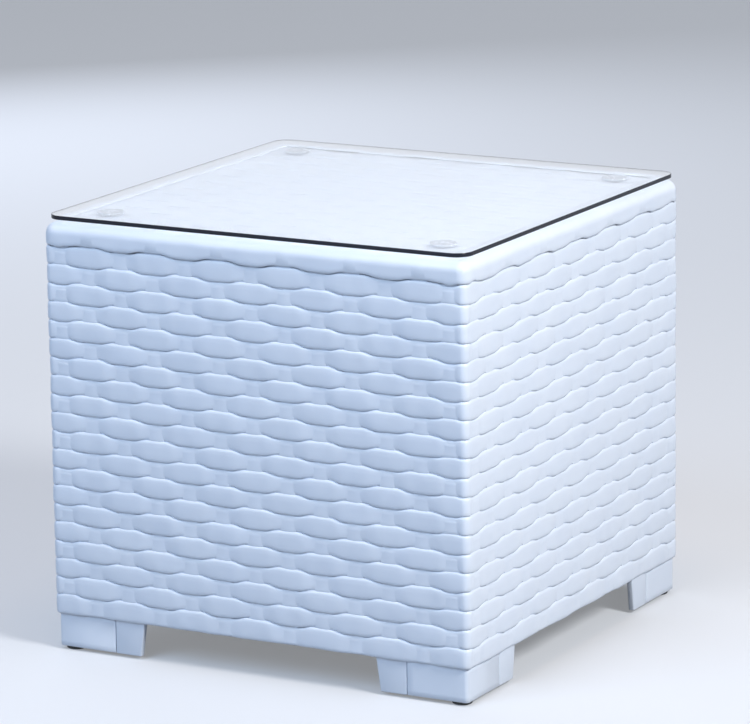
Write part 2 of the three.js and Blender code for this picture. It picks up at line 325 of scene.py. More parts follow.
def settle(piece):
    """Puts the piece's place, turn and scale into its mesh."""
    only(piece)
    bpy.ops.object.transform_apply(location=True, rotation=True, scale=True)


def ribbon(name, left, right, low, high, out, columns, rows):
    """A flat grid that stands in front of the table, out metres before its middle."""
    bpy.ops.object.select_all(action="DESELECT")
    bpy.ops.mesh.primitive_grid_add(
        x_subdivisions=columns, y_subdivisions=rows, size=1,
        location=((left + right) / 2, -out, (low + high) / 2), rotation=(math.pi / 2, 0, 0))
    piece = bpy.context.object
    piece.name = name
    piece.data.name = name
    piece.scale = (right - left, high - low, 1)
    settle(piece)
    return piece


def copy_of(piece, name, quarters=0, shift=(0, 0, 0)):
    """A copy with its own mesh, turned by quarter turns about the table's middle and shifted."""
    only(piece)
    bpy.ops.object.duplicate()
    twin = bpy.context.object
    twin.name = name
    twin.data.name = name
    twin.rotation_euler.z = quarters * math.pi / 2
    twin.location = shift
    settle(twin)
    return twin


def join(name, pieces):
    """Joins pieces into one and merges the vertices that meet."""
    only(*pieces)
    if len(pieces) > 1:
        bpy.ops.object.join()
    whole = bpy.context.object
    whole.name = name
    whole.data.name = name
    edit(whole)
    bpy.ops.mesh.select_all(action="SELECT")
    bpy.ops.mesh.remove_doubles(threshold=MERGE_WITHIN)
    bpy.ops.mesh.normals_make_consistent(inside=False)
    close_edit()
    return whole


def apply_modifier(piece, name, kind, settings):
    """Adds a modifier, sets it up and applies it."""
    only(piece)
    modifier = piece.modifiers.new(name, kind)
    for key, value in settings.items():
        setattr(modifier, key, value)
    bpy.ops.object.modifier_apply(modifier=modifier.name)


def thicken(piece, thickness, edge_round):
    """Gives a sheet its thickness, half to each side, and rounds the edges of the strap."""
    apply_modifier(piece, "thickness", "SOLIDIFY", {
        "thickness": thickness, "offset": 0, "use_even_offset": True})
    apply_modifier(piece, "soft_edges", "BEVEL", {
        "width": edge_round, "segments": 1, "limit_method": "ANGLE",
        "angle_limit": math.radians(SHARP_ANGLE)})


def finish(piece, body, material, slot, *nodes, smooth=SHARP_ANGLE):
    """Shades a finished piece, gives it its material, ties it to its body and hides the CAD nodes that
    it stands for.
    """
    only(piece)
    bpy.ops.object.shade_smooth_by_angle(angle=math.radians(smooth))
    piece.data.materials.clear()
    piece.data.materials.append(material)
    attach(piece, body)
    if nodes:
        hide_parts(*nodes)
    print(piece.name + ":", len(piece.data.polygons), "faces")


def drop(*pieces):
    """Removes the patterns that only served to make copies."""
    for piece in pieces:
        bpy.data.objects.remove(piece)


# %% [markdown]
# ## The plan of the weave
# A plain weave: twenty level straps, each one round the whole table, and thirteen upright
# straps in each wall. Eleven of them stand 44 mm apart, and the outermost two stand right beside
# the corners. A level strap passes over one upright and behind the next. The row below does the
# reverse. Round the corner itself every strap stays outside. The pattern that starts over on one
# wall starts under on the next, so a row turned by a quarter is the row below it. That is why
# one row can be modelled once and copied.

# %% Sizes of the weave
STRAP_THICKNESS = 0.8 * MM
STRAP_EDGE_ROUND = 0.25 * MM

ROWS = 20
ROW_PITCH = (wall_high.z - wall_low.z) / ROWS
ROW_GAP = 0.2 * MM
UPRIGHT_PITCH = 44 * MM
UPRIGHTS = range(-6, 7)         # counted from the middle of the wall
CORNER_UPRIGHT = 258 * MM       # where the outermost two stand, from the middle

FACE = -wall_low.y
LEVEL_OUT = FACE - STRAP_THICKNESS / 2      # the middle of a level strap's thickness
WALL_END = 272 * MM                         # where the round corner begins
CORNER_STEPS = 5
print("weave: row pitch", round(ROW_PITCH / MM, 2), "mm, upright pitch", UPRIGHT_PITCH / MM, "mm")

# %% [markdown]
# ## One side of a row
# The strap starts as a flat ribbon at the outer level. Where it goes behind an upright, the
# few columns of vertices there are pulled inwards and squeezed, with a soft falloff that
# reaches halfway to the next upright. Where it goes over one, it swells. The two long edges are
# set back in three steps, so that the strap is crowned, its upper edge catches the light and its
# lower edge lies in shade. Beside a corner there is less room, so the dip there is shallow and
# leaves the last column still. The right-hand end is then spun round the corner.

# %% Sizes of a row
COLUMN_WIDTH = 4 * MM
COLUMN_HEIGHTS = 8
SWELL = 0.14                    # share of the strap's width
SWELL_CORE = 12.1 * MM          # moved whole, to each side of the upright
SWELL_REACH = 20 * MM           # and softly, beyond that
LEVEL_DIP = 1.4 * MM
DIP_CORE = 6.1 * MM
DIP_REACH = 24 * MM
CORNER_DIP = 0.8 * MM
CORNER_CORE = 6.1 * MM

# From a share of the half width outwards: how much the next bit is spread, and how many
# millimetres the strap is set back above and below.
EDGE_SHAPE = ((0.9, 1.0, 1.45, 0.85), (0.65, 1.15, 0.45, 0.3), (0.4, 1.35, 0.1, 0.1))
EDGE_BIT = 0.2


# %% One side of a row
def soft(reach):
    """Settings of a pull that drags the neighbours along, less and less up to this distance."""
    return {"use_proportional_edit": True, "proportional_edit_falloff": "SMOOTH",
            "proportional_size": reach}


def place_of(count):
    """Where an upright stands along its wall. The outermost two stand closer to the next."""
    return max(-CORNER_UPRIGHT, min(CORNER_UPRIGHT, count * UPRIGHT_PITCH))


def pull_of(count, core, reach, end):
    """How far to each side an upright moves a level strap, wholly and then softly."""
    if abs(count) < UPRIGHTS[-1]:
        return core, reach
    return CORNER_CORE, end - CORNER_UPRIGHT - CORNER_CORE


def weave_side(name, low, high, goes_under, straight_foot=False):
    """The front side of a level strap, with its right-hand corner."""
    strap = ribbon(name, -WALL_END, WALL_END, low, high, LEVEL_OUT,
                   round(2 * WALL_END / COLUMN_WIDTH), COLUMN_HEIGHTS)
    middle = (low + high) / 2
    half = (high - low) / 2
    edit(strap)
    for share, spread, above, below in EDGE_SHAPE:
        pick(strap, lambda co: share * half < abs(co.z - middle) < (share + EDGE_BIT) * half)
        bpy.ops.transform.resize(value=(1, 1, spread), center_override=(0, 0, middle))
        pick(strap, lambda co: co.z > middle + share * half)
        bpy.ops.transform.translate(value=(0, above * MM, 0))
        pick(strap, lambda co: co.z < middle - share * half)
        bpy.ops.transform.translate(value=(0, below * MM, 0))
    still, swell = (low, SWELL / 2) if straight_foot else (middle, SWELL)
    for count in UPRIGHTS:
        at = place_of(count)
        under = goes_under(count)
        core, reach = pull_of(count, SWELL_CORE, SWELL_REACH, WALL_END)
        pick(strap, lambda co: abs(co.x - at) < core)
        bpy.ops.transform.resize(value=(1, 1, 1 - swell if under else 1 + swell),
                                 center_override=(at, -LEVEL_OUT, still), **soft(reach))
        if under:
            core, reach = pull_of(count, DIP_CORE, DIP_REACH, WALL_END)
            dip = LEVEL_DIP if abs(count) < UPRIGHTS[-1] else CORNER_DIP
            pick(strap, lambda co: abs(co.x - at) < core)
            bpy.ops.transform.translate(value=(0, dip, 0), **soft(reach))
    pick(strap, lambda co: co.x > WALL_END - TOUCH)
    bpy.ops.mesh.spin(steps=CORNER_STEPS, angle=-math.pi / 2,
                      center=(WALL_END, -WALL_END, 0), axis=(0, 0, 1))
    close_edit()
    return strap


def ring_of(name, plain, reverse):
    """Four sides as one closed ring: the plain side at front and back, its reverse at the sides."""
    right_side = copy_of(reverse, "right_side", 1)
    back_side = copy_of(plain, "back_side", 2)
    left_side = copy_of(reverse, "left_side", 3)
    drop(reverse)
    return join(name, [plain, right_side, back_side, left_side])


# %% [markdown]
# ## Twenty rows
# The first row is made at the top of the wall. Each further row is a copy, one pitch lower and
# a quarter turn on. Woven by hand, no two rows are quite alike, so a cloud texture pushes each
# copy up or down and in or out by a few tenths of a millimetre.

# %% Rows of the walls
UNEVENNESS = 1.3 * MM           # from the lowest to the highest value of the texture
UNEVEN_SPOTS = 0.035            # metres

unevenness = bpy.data.textures.new("unevenness", "CLOUDS")
unevenness.cloud_type = "COLOR"
unevenness.noise_scale = UNEVEN_SPOTS
unevenness.noise_depth = 1


def hand_woven(piece, *directions):
    """Small unevenness, the same on every run and the same for straps that meet."""
    for direction in directions:
        apply_modifier(piece, "unevenness", "DISPLACE", {
            "texture": unevenness, "texture_coords": "GLOBAL", "direction": direction,
            "strength": UNEVENNESS, "mid_level": 0.5})


walls = [f"woven_wall_{side}" for side in ("front", "back", "left", "right")]
row_half = (ROW_PITCH - ROW_GAP) / 2
top_middle = wall_high.z - ROW_PITCH / 2
row_pattern = ring_of("row_pattern", *(
    weave_side(f"row_side_{odd}", top_middle - row_half, top_middle + row_half,
               lambda count: count % 2 == odd) for odd in (0, 1)))
thicken(row_pattern, STRAP_THICKNESS, STRAP_EDGE_ROUND)
for row in range(1, ROWS):
    strap = copy_of(row_pattern, f"wall_strap_{row:02d}", row - 1, (0, 0, -(row - 1) * ROW_PITCH))
    hand_woven(strap, "RGB_TO_XYZ", "Z")
    finish(strap, "cover", strap_level, "woven_resin", *walls)
drop(row_pattern)

# %% [markdown]
# ## The lowest row
# The twentieth strap ends the weave. Its lower edge is not wavy but straight, because there is
# no row below to swell into it, and it is turned in under the frame. So it is scaled about its
# lower edge, and that edge is extruded and drawn in towards the middle of the table.

# %% Lowest row
HEM_LEVEL = wall_low.z - 1.3 * MM
HEM = 2 * MM

last_row = ring_of("wall_strap_20", *(
    weave_side(f"last_side_{odd}", HEM_LEVEL, wall_low.z + ROW_PITCH - ROW_GAP / 2,
               lambda count: count % 2 == odd, straight_foot=True) for odd in (1, 0)))
edit(last_row)
pick(last_row, lambda co: co.z < HEM_LEVEL + TOUCH)
bpy.ops.mesh.extrude_region_move()
drawn_in = 1 - HEM / FACE
bpy.ops.transform.resize(value=(drawn_in, drawn_in, 1), center_override=(0, 0, HEM_LEVEL))
close_edit()
thicken(last_row, STRAP_THICKNESS, STRAP_EDGE_ROUND)
hand_woven(last_row, "RGB_TO_XYZ")
finish(last_row, "cover", strap_level, "woven_resin", *walls)

# %% [markdown]
# ## The upright straps
# Thirteen in each wall. An upright shows only as a small patch wherever a level strap goes
# behind it, and there it bulges out. Its long edges are rolled back, so that they sink behind
# the level strap and the patch has no hard sides. It begins under the bottom rail. Between the
# feet its end is turned in, to be stapled there. Every second one comes out over the rim at the
# top, except at the corners. The same soft pull makes the bulges, now row by row.

# %% Sizes of the uprights
UPRIGHT_WIDTH = 20 * MM
UPRIGHT_EDGE_ROUND = 0.12 * MM
UPRIGHT_BEHIND = LEVEL_OUT - 2.0 * MM
UPRIGHT_COLUMNS = 6
UPRIGHT_STEPS = 10              # in a row's height
UPRIGHT_SPREAD = 1.42           # moves the inner columns out, near the edges
UPRIGHT_ROLL = 0.35 * MM
EDGE_COLUMNS = 0.4              # share of the width, from the middle
UPRIGHT_BULGE = 0.95 * MM
CORNER_BULGE = 1.5 * MM
BULGE_ABOVE = 0.25              # shares of the row pitch, from the middle of the row
BULGE_BELOW = 0.45
BULGE_REACH = 0.2
UPRIGHT_HEAD = 6 * MM           # how far it runs up behind the rim
SHORT_FOOT = 2 * MM             # less at the bottom, where the last row hides it
TURN_IN = 20 * MM
BETWEEN_FEET = 3                # the last upright on each side that is turned in

# %% Sizes of the rim
RIM_LIFT = 0.25 * MM            # of an upright over the rim
RIM_MARGIN = 0.4 * MM           # keeps the uneven rim inside the box of the CAD model
RIM_TOP_MARGIN = 0.2 * MM
RIM_OUT = -rim_low.y - RIM_MARGIN - RIM_LIFT - STRAP_THICKNESS / 2
RIM_ROUND = 13.2 * MM
RIM_TURN = rim_high.z - RIM_TOP_MARGIN - RIM_LIFT - STRAP_THICKNESS / 2 - RIM_ROUND
RIM_FLAT = 12 * MM
RIM_STEPS = 8


# %% Upright straps of one wall
def upright(name, at, bulge, in_front, over_rim, turned_in):
    """One upright strap of the front wall. in_front(row) says where it shows."""
    foot = wall_low.z + (0 if in_front(ROWS) else SHORT_FOOT)
    head = wall_high.z + UPRIGHT_HEAD
    strap = ribbon(name, at - UPRIGHT_WIDTH / 2, at + UPRIGHT_WIDTH / 2, foot, head,
                   UPRIGHT_BEHIND, UPRIGHT_COLUMNS,
                   round((head - foot) / ROW_PITCH * UPRIGHT_STEPS))
    edit(strap)
    pick(strap, lambda co: abs(co.x - at) / UPRIGHT_WIDTH < EDGE_COLUMNS)
    bpy.ops.transform.resize(value=(UPRIGHT_SPREAD, 1, 1), center_override=(at, 0, 0))
    pick(strap, lambda co: abs(co.x - at) / UPRIGHT_WIDTH > EDGE_COLUMNS)
    bpy.ops.transform.translate(value=(0, UPRIGHT_ROLL, 0))
    for row in range(1, ROWS + 1):
        if in_front(row):
            middle = wall_high.z - (row - 0.5) * ROW_PITCH
            lowest = 0 if row == ROWS else middle - BULGE_BELOW * ROW_PITCH
            pick(strap, lambda co: lowest < co.z < middle + BULGE_ABOVE * ROW_PITCH)
            bpy.ops.transform.translate(value=(0, -bulge, 0), **soft(BULGE_REACH * ROW_PITCH))
    if turned_in:
        pick(strap, lambda co: co.z < foot + TOUCH)
        bpy.ops.mesh.extrude_region_move(TRANSFORM_OT_translate={"value": (0, TURN_IN, 0)})
    if over_rim:
        pick(strap, lambda co: co.z > head - TOUCH)
        rise = RIM_OUT + RIM_LIFT - UPRIGHT_BEHIND
        bpy.ops.transform.translate(value=(0, -rise, 0), **soft(UPRIGHT_HEAD))
        pick(strap, lambda co: co.z > head - TOUCH)
        bpy.ops.mesh.extrude_region_move(
            TRANSFORM_OT_translate={"value": (0, 0, RIM_TURN - head)})
        bpy.ops.mesh.spin(steps=RIM_STEPS, angle=math.pi / 2, axis=(1, 0, 0),
                          center=(at, -(RIM_OUT - RIM_ROUND), RIM_TURN))
        bpy.ops.mesh.extrude_region_move(TRANSFORM_OT_translate={"value": (0, RIM_FLAT, 0)})
    close_edit()
    return strap


def uprights_of(name, first):
    """All uprights of a wall. first is 0 where the even ones show in the first row, or else 1."""
    straps = []
    for count in UPRIGHTS:
        shows_odd = count % 2 == first
        at_corner = abs(count) == UPRIGHTS[-1]
        straps.append(upright(
            f"{name}_{count}", place_of(count), CORNER_BULGE if at_corner else UPRIGHT_BULGE,
            lambda row: (row % 2 == 1) == shows_odd, not shows_odd and not at_corner,
            abs(count) <= BETWEEN_FEET))
    wall = join(name, straps)
    thicken(wall, STRAP_THICKNESS, UPRIGHT_EDGE_ROUND)
    return wall


front_uprights = uprights_of("wall_uprights_front", 0)
side_uprights = uprights_of("side_uprights", 1)
wall_uprights = {
    "front": front_uprights,
    "back": copy_of(front_uprights, "wall_uprights_back", 2),
    "right": copy_of(side_uprights, "wall_uprights_right", 1),
    "left": copy_of(side_uprights, "wall_uprights_left", 3),
}
drop(side_uprights)
for side, wall in wall_uprights.items():
    hand_woven(wall, "RGB_TO_XYZ", "Z")
    finish(wall, "cover", strap_upright, "woven_resin", f"woven_wall_{side}")

# %% [markdown]
# ## The rim
# Above the top row a wider strap is wrapped over the edge of the frame. It stands a little
# proud of the walls, its lower edge is wavy like a row, and it runs over a round shoulder onto
# the top. The waves come from scaling the ribbon about its upper edge, which stays straight.
# That edge is then spun over the shoulder and extruded inwards, drawn in at both ends so that
# the four sides meet in a mitre.

# %% Rim
RIM_END = RIM_OUT - RIM_ROUND
RIM_SWELL = 0.12
RIM_GAP = 0.4 * MM
RIM_COLUMNS = 134
RIM_HEIGHTS = 6
RIM_CORNER_STEPS = 6
RIM_EDGE_SHAPE = ((0.1, 0.8), (0.25, 0.3))      # share of the height, millimetres set back


def rim_side(name, goes_under):
    """One side of the rim with its right-hand corner."""
    low = rim_low.z + RIM_GAP
    strap = ribbon(name, -RIM_END, RIM_END, low, RIM_TURN, RIM_OUT, RIM_COLUMNS, RIM_HEIGHTS)
    edit(strap)
    for share, below in RIM_EDGE_SHAPE:
        pick(strap, lambda co: co.z < low + share * (RIM_TURN - low))
        bpy.ops.transform.translate(value=(0, below * MM, 0))
    for count in UPRIGHTS:
        at = place_of(count)
        core, reach = pull_of(count, SWELL_CORE, SWELL_REACH, RIM_END)
        pick(strap, lambda co: abs(co.x - at) < core)
        swell = -RIM_SWELL if goes_under(count) else RIM_SWELL
        bpy.ops.transform.resize(value=(1, 1, 1 + swell),
                                 center_override=(at, -RIM_OUT, RIM_TURN), **soft(reach))
    pick(strap, lambda co: co.z > RIM_TURN - TOUCH)
    bpy.ops.mesh.spin(steps=RIM_STEPS, angle=math.pi / 2, axis=(1, 0, 0),
                      center=(0, -RIM_END, RIM_TURN))
    bpy.ops.mesh.extrude_region_move(TRANSFORM_OT_translate={"value": (0, RIM_FLAT, 0)})
    mitre = (RIM_END - RIM_FLAT) / RIM_END
    bpy.ops.transform.resize(value=(mitre, 1, 1), center_override=(0, 0, 0))
    pick(strap, lambda co: co.x > RIM_END - TOUCH and co.y < -RIM_END + TOUCH)
    bpy.ops.mesh.spin(steps=RIM_CORNER_STEPS, angle=-math.pi / 2, axis=(0, 0, 1),
                      center=(RIM_END, -RIM_END, 0))
    close_edit()
    return strap


rim = ring_of("rim_strap", *(
    rim_side(f"rim_side_{odd}", lambda count: count % 2 == odd) for odd in (1, 0)))
thicken(rim, STRAP_THICKNESS, STRAP_EDGE_ROUND)
hand_woven(rim, "RGB_TO_XYZ", "Z")
finish(rim, "cover", strap_level, "woven_resin", "woven_deck")

# %% [markdown]
# ## The woven deck
# Under the glass the same weave lies flat on the frame: twenty-three straps from left to right
# and eleven from front to back. It is pulled tighter than the walls, so its relief is low and
# only small dimples show beside the crossings. Two patterns of each strap are modelled, one the
# reverse of the other, and copied across the deck. The ends run under the rim.

# %% Deck
DECK_REACH = 262 * MM           # from the middle, under the rim
DECK_LEVEL = rim_high.z - 2.3 * MM
DECK_ROWS = range(-11, 12)
DECK_COLUMNS = range(-5, 6)

DECK_HALF = ROW_PITCH / 2 - 0.03 * MM       # half the width of a strap
DECK_MESH = (131, 4)
DECK_DIP = 0.6 * MM
DECK_NARROWER = 0.96
DECK_WIDER = 1.02
DECK_EDGE = 0.9                 # share of the half width
DECK_EDGE_DROP = 0.15 * MM

CROSS_MESH = (4, 188)
CROSS_BEHIND = 1.1 * MM
CROSS_BULGE = 0.75 * MM
CROSS_CORE = 0.17               # shares of the row pitch
CROSS_REACH = 0.3


def flat_strap(name, half_x, half_y, height, columns, rows):
    """A flat grid that lies level, centred on the table's middle."""
    bpy.ops.object.select_all(action="DESELECT")
    bpy.ops.mesh.primitive_grid_add(x_subdivisions=columns, y_subdivisions=rows, size=2,
                                    location=(0, 0, height))
    piece = bpy.context.object
    piece.name = name
    piece.scale = (half_x, half_y, 1)
    settle(piece)
    return piece


def deck_row(name, goes_under):
    """A strap from left to right, pressed down where it goes under."""
    strap = flat_strap(name, DECK_REACH, DECK_HALF, DECK_LEVEL, *DECK_MESH)
    edit(strap)
    pick(strap, lambda co: abs(co.y) > DECK_EDGE * DECK_HALF)
    bpy.ops.transform.translate(value=(0, 0, -DECK_EDGE_DROP))
    for count in DECK_COLUMNS:
        at = count * UPRIGHT_PITCH
        pick(strap, lambda co: abs(co.x - at) < DIP_CORE)
        width = DECK_NARROWER if goes_under(count) else DECK_WIDER
        bpy.ops.transform.resize(value=(1, width, 1), center_override=(at, 0, DECK_LEVEL),
                                 **soft(DIP_REACH))
        if goes_under(count):
            bpy.ops.transform.translate(value=(0, 0, -DECK_DIP), **soft(DIP_REACH))
    close_edit()
    return strap


def deck_cross(name, in_front):
    """A strap from front to back, raised where it goes over."""
    strap = flat_strap(name, UPRIGHT_WIDTH / 2, DECK_REACH, DECK_LEVEL - CROSS_BEHIND, *CROSS_MESH)
    edit(strap)
    for row in DECK_ROWS:
        if in_front(row):
            pick(strap, lambda co: abs(co.y - row * ROW_PITCH) < CROSS_CORE * ROW_PITCH)
            bpy.ops.transform.translate(value=(0, 0, CROSS_BULGE), **soft(CROSS_REACH * ROW_PITCH))
    close_edit()
    return strap


def laid_out(name, patterns, places):
    """Copies two patterns in turn to their places, and makes one thick piece of them."""
    deck = join(name, [copy_of(patterns[step % 2], f"{name}_{step}", 0, place)
                       for step, place in enumerate(places)])
    drop(*patterns)
    thicken(deck, STRAP_THICKNESS, STRAP_EDGE_ROUND)
    return deck


across = laid_out(
    "deck_straps_left_right",
    [deck_row("deck_row_a", lambda count: count % 2 == 0),
     deck_row("deck_row_b", lambda count: count % 2 != 0)],
    [(0, row * ROW_PITCH, 0) for row in DECK_ROWS])
along = laid_out(
    "deck_straps_front_back",
    [deck_cross("deck_cross_a", lambda row: row % 2 == 0),
     deck_cross("deck_cross_b", lambda row: row % 2 != 0)],
    [(count * UPRIGHT_PITCH, 0, 0) for count in DECK_COLUMNS])
finish(across, "cover", strap_left_right, "woven_resin", "woven_deck")
finish(along, "cover", strap_front_back, "woven_resin", "woven_deck")

# %% [markdown]
# ## The feet
# Each corner stands on an L-shaped foot: plates under the frame, wound with strap. A wide strap
# goes round the corner itself, and a narrower turn covers the end of each wing, so that a seam
# shows some 80 mm from the corner. The free end leans a little towards the corner. The corner
# strap is a ribbon spun round the post. The end turns start as boxes, lose their top, are
# bevelled round and are thickened inwards.

# %% Feet
foot_low, foot_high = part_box("foot_wrap_front_right")
FOOT_OUT = foot_high.x
FOOT_STRAP = 2 * MM             # the strap and its lining
FOOT_STRAP_EDGE = 0.6 * MM
FOOT_MESH = (8, 6)
FOOT_CORNER_END = 197.2 * MM    # from the middle of the table
FOOT_CORNER_ROUND = 4 * MM
FOOT_CORNER_STEPS = 6
FOOT_LOW_GAP = 0.5 * MM
FOOT_TOP_GAP = 0.1 * MM

TURN_NEAR = 196.6 * MM          # from the middle of the table too
TURN_FAR = 156 * MM
TURN_DEPTH = 7.6 * MM
TURN_LEAN = 6 * MM
TURN_EDGE = 1.6 * MM
TURN_THICKNESS = 1.4 * MM


def foot_turn(hand):
    """The end turn round a wing of the front side, at the right (hand 1) or the left (-1)."""
    bpy.ops.object.select_all(action="DESELECT")
    middle = (hand * (TURN_NEAR + TURN_FAR) / 2, -FOOT_OUT + TURN_DEPTH / 2,
              (foot_low.z + foot_high.z) / 2)
    bpy.ops.mesh.primitive_cube_add(size=1, location=middle)
    turn = bpy.context.object
    turn.scale = (TURN_NEAR - TURN_FAR, TURN_DEPTH, foot_high.z - foot_low.z)
    settle(turn)
    edit(turn)
    pick(turn, lambda co: abs(co.x) < TURN_FAR + TOUCH and co.z < foot_low.z + TOUCH)
    bpy.ops.transform.translate(value=(hand * TURN_LEAN, 0, 0))
    pick(turn, lambda co: co.z > foot_high.z - TOUCH)
    bpy.ops.mesh.delete(type="ONLY_FACE")
    pick(turn, lambda co: True)
    bpy.ops.mesh.bevel(offset=TURN_EDGE, segments=3, affect="EDGES")
    bpy.ops.mesh.normals_make_consistent(inside=False)
    close_edit()
    apply_modifier(turn, "thickness", "SOLIDIFY", {"thickness": TURN_THICKNESS, "offset": -1})
    return turn


def wrapped_foot():
    """The foot of the front right corner."""
    out = FOOT_OUT - FOOT_STRAP / 2
    bend = out - FOOT_CORNER_ROUND
    corner = ribbon("foot_corner", FOOT_CORNER_END, bend, foot_low.z + FOOT_LOW_GAP,
                    foot_high.z - FOOT_TOP_GAP, out, *FOOT_MESH)
    edit(corner)
    pick(corner, lambda co: co.x > bend - TOUCH)
    bpy.ops.mesh.spin(steps=FOOT_CORNER_STEPS, angle=-math.pi / 2, axis=(0, 0, 1),
                      center=(bend, -bend, 0))
    bpy.ops.mesh.extrude_region_move(
        TRANSFORM_OT_translate={"value": (0, bend - FOOT_CORNER_END, 0)})
    close_edit()
    corner = join("foot_corner", [corner])
    thicken(corner, FOOT_STRAP, FOOT_STRAP_EDGE)
    near_turn = foot_turn(1)
    left_turn = foot_turn(-1)
    other_turn = copy_of(left_turn, "other_turn", 1)
    drop(left_turn)
    return join("foot_straps_front_right", [corner, near_turn, other_turn])


first_foot = wrapped_foot()
feet = {"front_right": first_foot}
for quarters, corner in enumerate(("back_right", "back_left", "front_left"), 1):
    feet[corner] = copy_of(first_foot, f"foot_straps_{corner}", quarters)
for corner, foot in feet.items():
    finish(foot, "cover", strap_upright, "woven_resin", f"foot_wrap_{corner}")

# %% [markdown]
# ## The clear pads
# Four soft vinyl pads keep the glass off the deck. Each is a shallow cup on a barbed stem that
# is pushed down through the weave. The turned shape grows out of one circle: its edge is
# extruded and scaled from one radius and height to the next.

# %% Vinyl material
VINYL = "#e8f0fb"
VINYL_CLOUDS = 260              # in a metre

vinyl, tree = new_material("vinyl_clear_soft_moulded")
vinyl_place = add_node(tree, "ShaderNodeTexCoord")
vinyl_cloud = add_node(tree, "ShaderNodeTexNoise", values={"Scale": VINYL_CLOUDS, "Detail": 2},
                       links={"Vector": vinyl_place.outputs["Object"]})
vinyl_dull = add_node(tree, "ShaderNodeMapRange", values={"To Min": 0.18, "To Max": 0.34},
                      links={"Value": vinyl_cloud.outputs[0]})
show(tree, add_node(tree, "ShaderNodeBsdfPrincipled", values={
    "Base Color": linear(VINYL), "IOR": 1.53, "Transmission Weight": 0.5},
    links={"Roughness": vinyl_dull.outputs[0]}).outputs[0])

# %% Clear pads
PAD_AT = 222 * MM
PAD_SIDES = 40
PAD_EDGE = 0.25 * MM
PAD_SHARP_ANGLE = 40            # degrees
PAD_PROFILE = ((2, 511.8), (5.4, 516.7), (4, 516.9), (4, 522.3), (15.2, 522.3), (15.9, 523.0),
               (16, 524.6), (15.2, 524.7), (9, 524.1), (4.5, 523.7))


def turned_pad(name):
    """Extrudes one circle along the profile. Radius and height are in millimetres."""
    bpy.ops.object.select_all(action="DESELECT")
    radius, height = PAD_PROFILE[0]
    bpy.ops.mesh.primitive_circle_add(vertices=PAD_SIDES, radius=radius * MM, fill_type="NGON",
                                      location=(PAD_AT, -PAD_AT, height * MM))
    pad = bpy.context.object
    pad.name = name
    settle(pad)
    edit(pad)
    bpy.ops.mesh.select_all(action="SELECT")
    for next_radius, next_height in PAD_PROFILE[1:]:
        bpy.ops.mesh.extrude_region_move(
            TRANSFORM_OT_translate={"value": (0, 0, (next_height - height) * MM)})
        grow = next_radius / radius
        bpy.ops.transform.resize(value=(grow, grow, 1),
                                 center_override=(PAD_AT, -PAD_AT, next_height * MM))
        radius, height = next_radius, next_height
    close_edit()
    pad = join(name, [pad])
    apply_modifier(pad, "soft_edges", "BEVEL", {
        "width": PAD_EDGE, "segments": 2, "limit_method": "ANGLE",
        "angle_limit": math.radians(PAD_SHARP_ANGLE)})
    return pad


first_pad = turned_pad("clear_pad_front_right")
pads = {"front_right": first_pad}
for quarters, corner in enumerate(("back_right", "back_left", "front_left"), 1):
    pads[corner] = copy_of(first_pad, f"clear_pad_{corner}", quarters)
for corner, pad in pads.items():
    finish(pad, "cover", vinyl, "clear_vinyl", f"glass_bumper_{corner}")

# %% [markdown]
# ## The glass
# A loose plate of five millimetre float glass with ground edges. From above it is clear, with a
# faint grey for the light that it swallows. Seen from the side its edge is dark, because the eye
# looks along more than half a metre of glass, so the edge faces get a blue-black of their own.
# Lamps shine through plate and edge onto the deck and the rim: for shadow rays both count as
# transparent.

# %% Glass material
GLASS_TINT = "#f2f3f5"
GLASS_SHADOW = "#eaebec"
EDGE_DARKEST = "#060a1c"
EDGE_LIGHTEST = "#0c1124"
EDGE_GRAINS = 900               # in a metre


def lets_lamps_through(tree, shader):
    """The same surface, but transparent to the light of the lamps."""
    ray = add_node(tree, "ShaderNodeLightPath")
    passing = add_node(tree, "ShaderNodeBsdfTransparent", values={"Color": linear(GLASS_SHADOW)})
    return add_node(tree, "ShaderNodeMixShader", links={
        0: ray.outputs["Is Shadow Ray"], 1: shader, 2: passing.outputs[0]}).outputs[0]


glass_clear, tree = new_material("float_glass_clear_polished")
glass_body = add_node(tree, "ShaderNodeBsdfPrincipled", values={
    "Base Color": linear(GLASS_TINT), "Roughness": 0.0, "IOR": 1.52, "Transmission Weight": 1.0})
show(tree, lets_lamps_through(tree, glass_body.outputs[0]))

glass_edge, tree = new_material("float_glass_ground_edge")
edge_place = add_node(tree, "ShaderNodeTexCoord")
edge_grind = add_node(tree, "ShaderNodeTexNoise", values={"Scale": EDGE_GRAINS, "Detail": 2},
                      links={"Vector": edge_place.outputs["Object"]})
edge_dull = add_node(tree, "ShaderNodeMapRange", values={"To Min": 0.12, "To Max": 0.3},
                     links={"Value": edge_grind.outputs[0]})
edge_tone = add_node(tree, "ShaderNodeMix", {"data_type": "RGBA"},
                     {6: linear(EDGE_DARKEST), 7: linear(EDGE_LIGHTEST)}, {0: edge_grind.outputs[0]})
glass_rim = add_node(tree, "ShaderNodeBsdfPrincipled", values={
    "IOR": 1.52, "Specular IOR Level": 0.4}, links={
    "Base Color": edge_tone.outputs[2], "Roughness": edge_dull.outputs[0]})
show(tree, lets_lamps_through(tree, glass_rim.outputs[0]))

# %% [markdown]
# The plate starts as a box of the glass's full size. First its four upright edges are bevelled
# to the round corners, then the edges of both faces to the narrow ground slope, the arris. Faces
# that stand steep are the edge and take the dark material.

# %% Glass plate
GLASS_CORNER = 20 * MM
GLASS_CORNER_STEPS = 12
GLASS_ARRIS = 0.7 * MM
GLASS_ARRIS_STEPS = 2
STEEP = 0.6                     # a steep face's normal rises less than this


